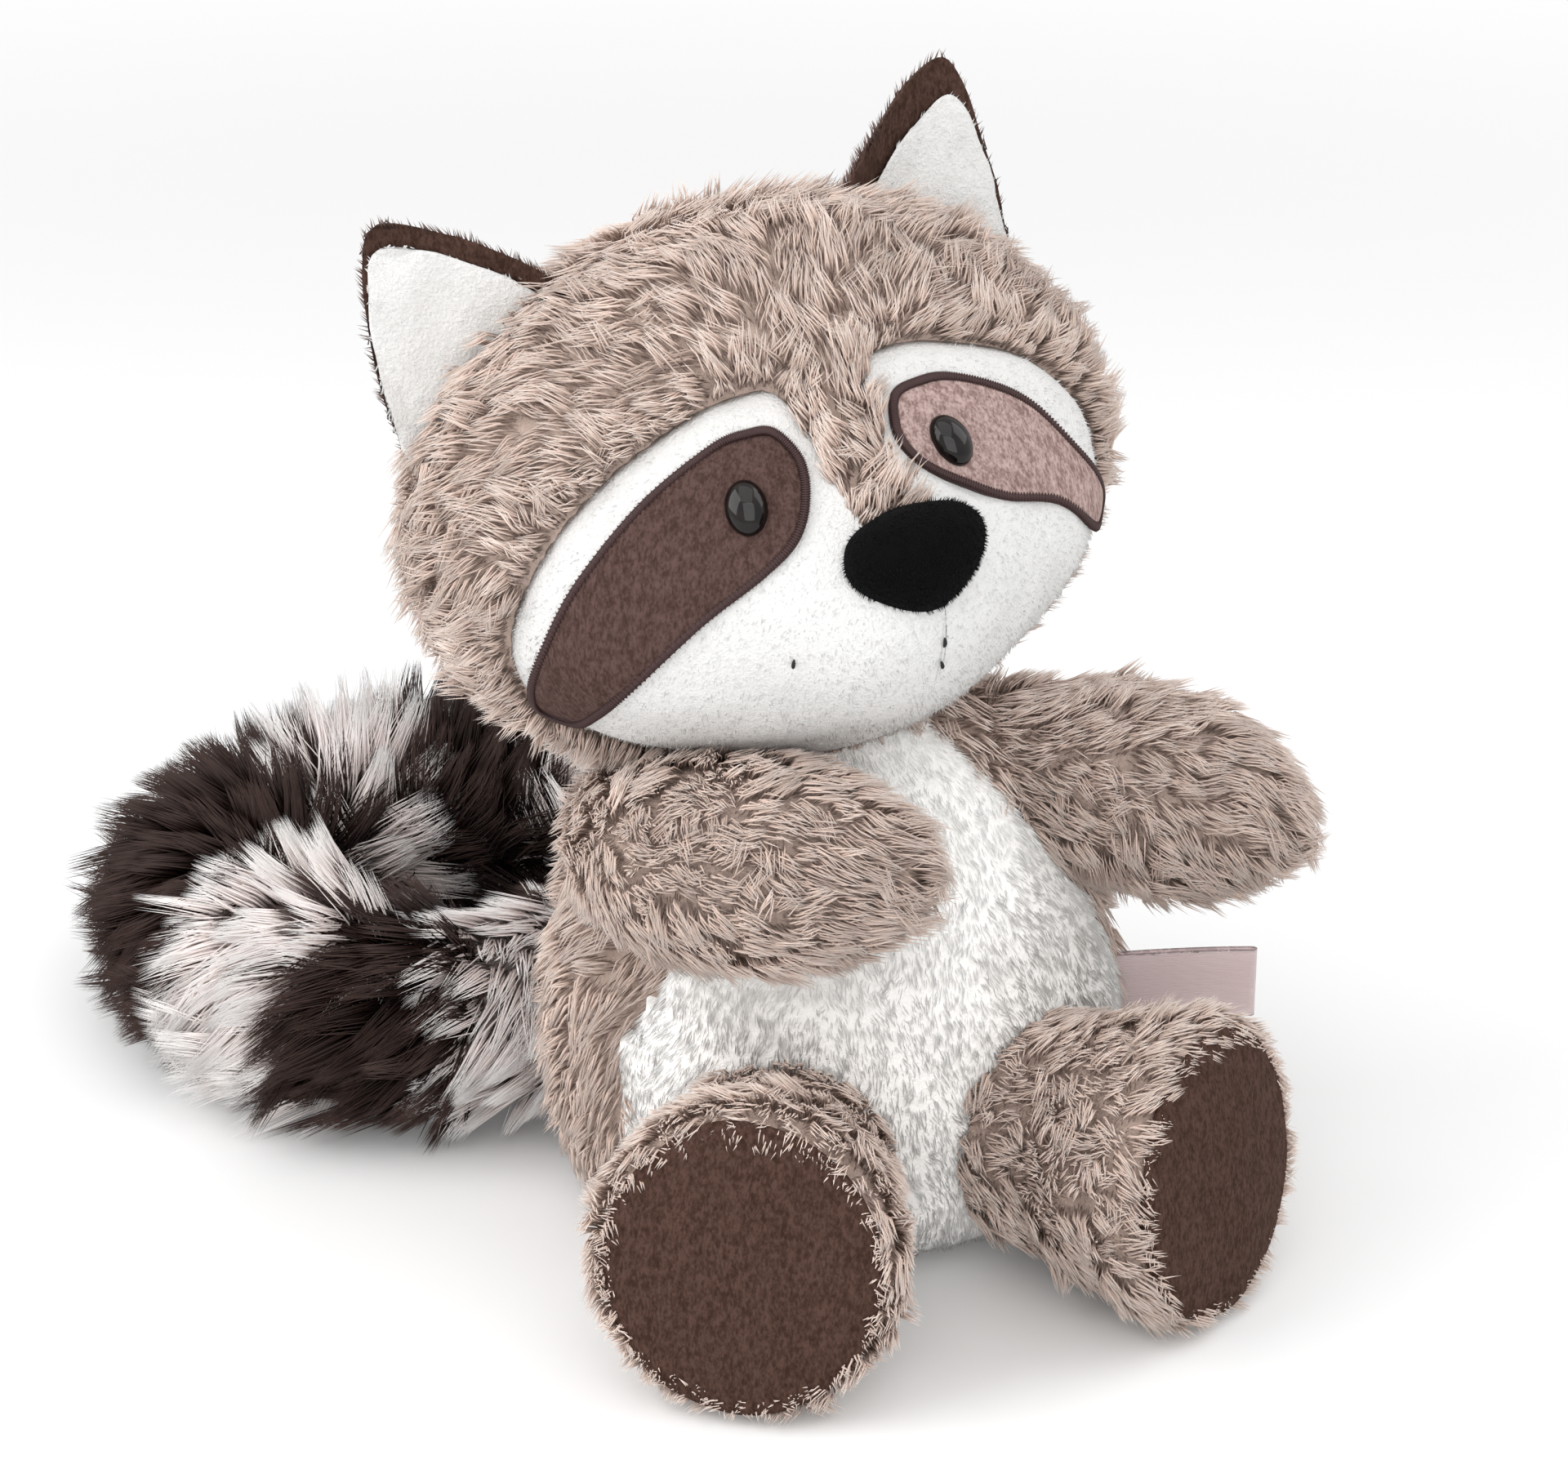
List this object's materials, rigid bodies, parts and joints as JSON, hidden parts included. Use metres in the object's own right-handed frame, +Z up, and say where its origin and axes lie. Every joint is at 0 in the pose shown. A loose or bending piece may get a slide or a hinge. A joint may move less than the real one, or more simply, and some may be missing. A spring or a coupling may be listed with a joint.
{
  "type": "plush raccoon",
  "caption": "Seated plush raccoon with a masked white face, furry taupe body, white belly, brown soles and a thick ringed tail curled round behind it.",
  "frame": {"origin": "middle of the toy's footprint box on the floor it sits on", "axes": "+Z up, the raccoon faces -Y, its own left is +X"},
  "size_m": [0.2322, 0.2996, 0.2468],
  "materials": {
    "taupe_fur": "long wavy taupe pile",
    "white_face_plush": "short white plush",
    "white_belly_fur": "long curly white pile",
    "brown_velour": "short brown velour",
    "brown_stitching": "satin stitch",
    "black_velvet": "black velvet",
    "black_thread": "black thread",
    "black_eye_plastic": "glossy black",
    "washer_plastic": "moulded",
    "polyester_filling": "loose fibre",
    "dark_tail_fur": "long straight dark pile",
    "light_tail_fur": "long straight pale pile",
    "label_ribbon": "woven ribbon"
  },
  "bodies": {
    "root": {"head_filling": "polyester_filling", "head_fur": "taupe_fur", "face_panel": "white_face_plush", "eye_patch_right": "brown_velour", "eye_patch_left": "brown_velour", "eye_patch_trim_right": "brown_stitching", "eye_patch_trim_left": "brown_stitching", "eye_right": "black_eye_plastic", "eye_left": "black_eye_plastic", "eye_washer_right": "washer_plastic", "eye_washer_left": "washer_plastic", "nose": "black_velvet", "mouth_stitch_right": "black_thread", "mouth_stitch_upper": "black_thread", "mouth_stitch_lower": "black_thread", "ear_front_right": "white_face_plush", "ear_front_left": "white_face_plush", "ear_back_right": "brown_velour", "ear_back_left": "brown_velour", "body_filling": "polyester_filling", "back_panel": "taupe_fur", "belly_panel": "white_belly_fur", "arm_right": "taupe_fur", "arm_left": "taupe_fur", "arm_filling_right": "polyester_filling", "arm_filling_left": "polyester_filling", "leg_right": "taupe_fur", "leg_left": "taupe_fur", "leg_filling_right": "polyester_filling", "leg_filling_left": "polyester_filling", "sole_right": "brown_velour", "sole_left": "brown_velour", "tail_filling": "polyester_filling", "label": "label_ribbon", "tail_band_1": "dark_tail_fur", "tail_band_2": "light_tail_fur", "tail_band_3": "dark_tail_fur", "tail_band_4": "light_tail_fur", "tail_band_5": "dark_tail_fur", "tail_band_6": "light_tail_fur", "tail_band_7": "dark_tail_fur", "tail_band_8": "light_tail_fur"}
  },
  "joints": []
}
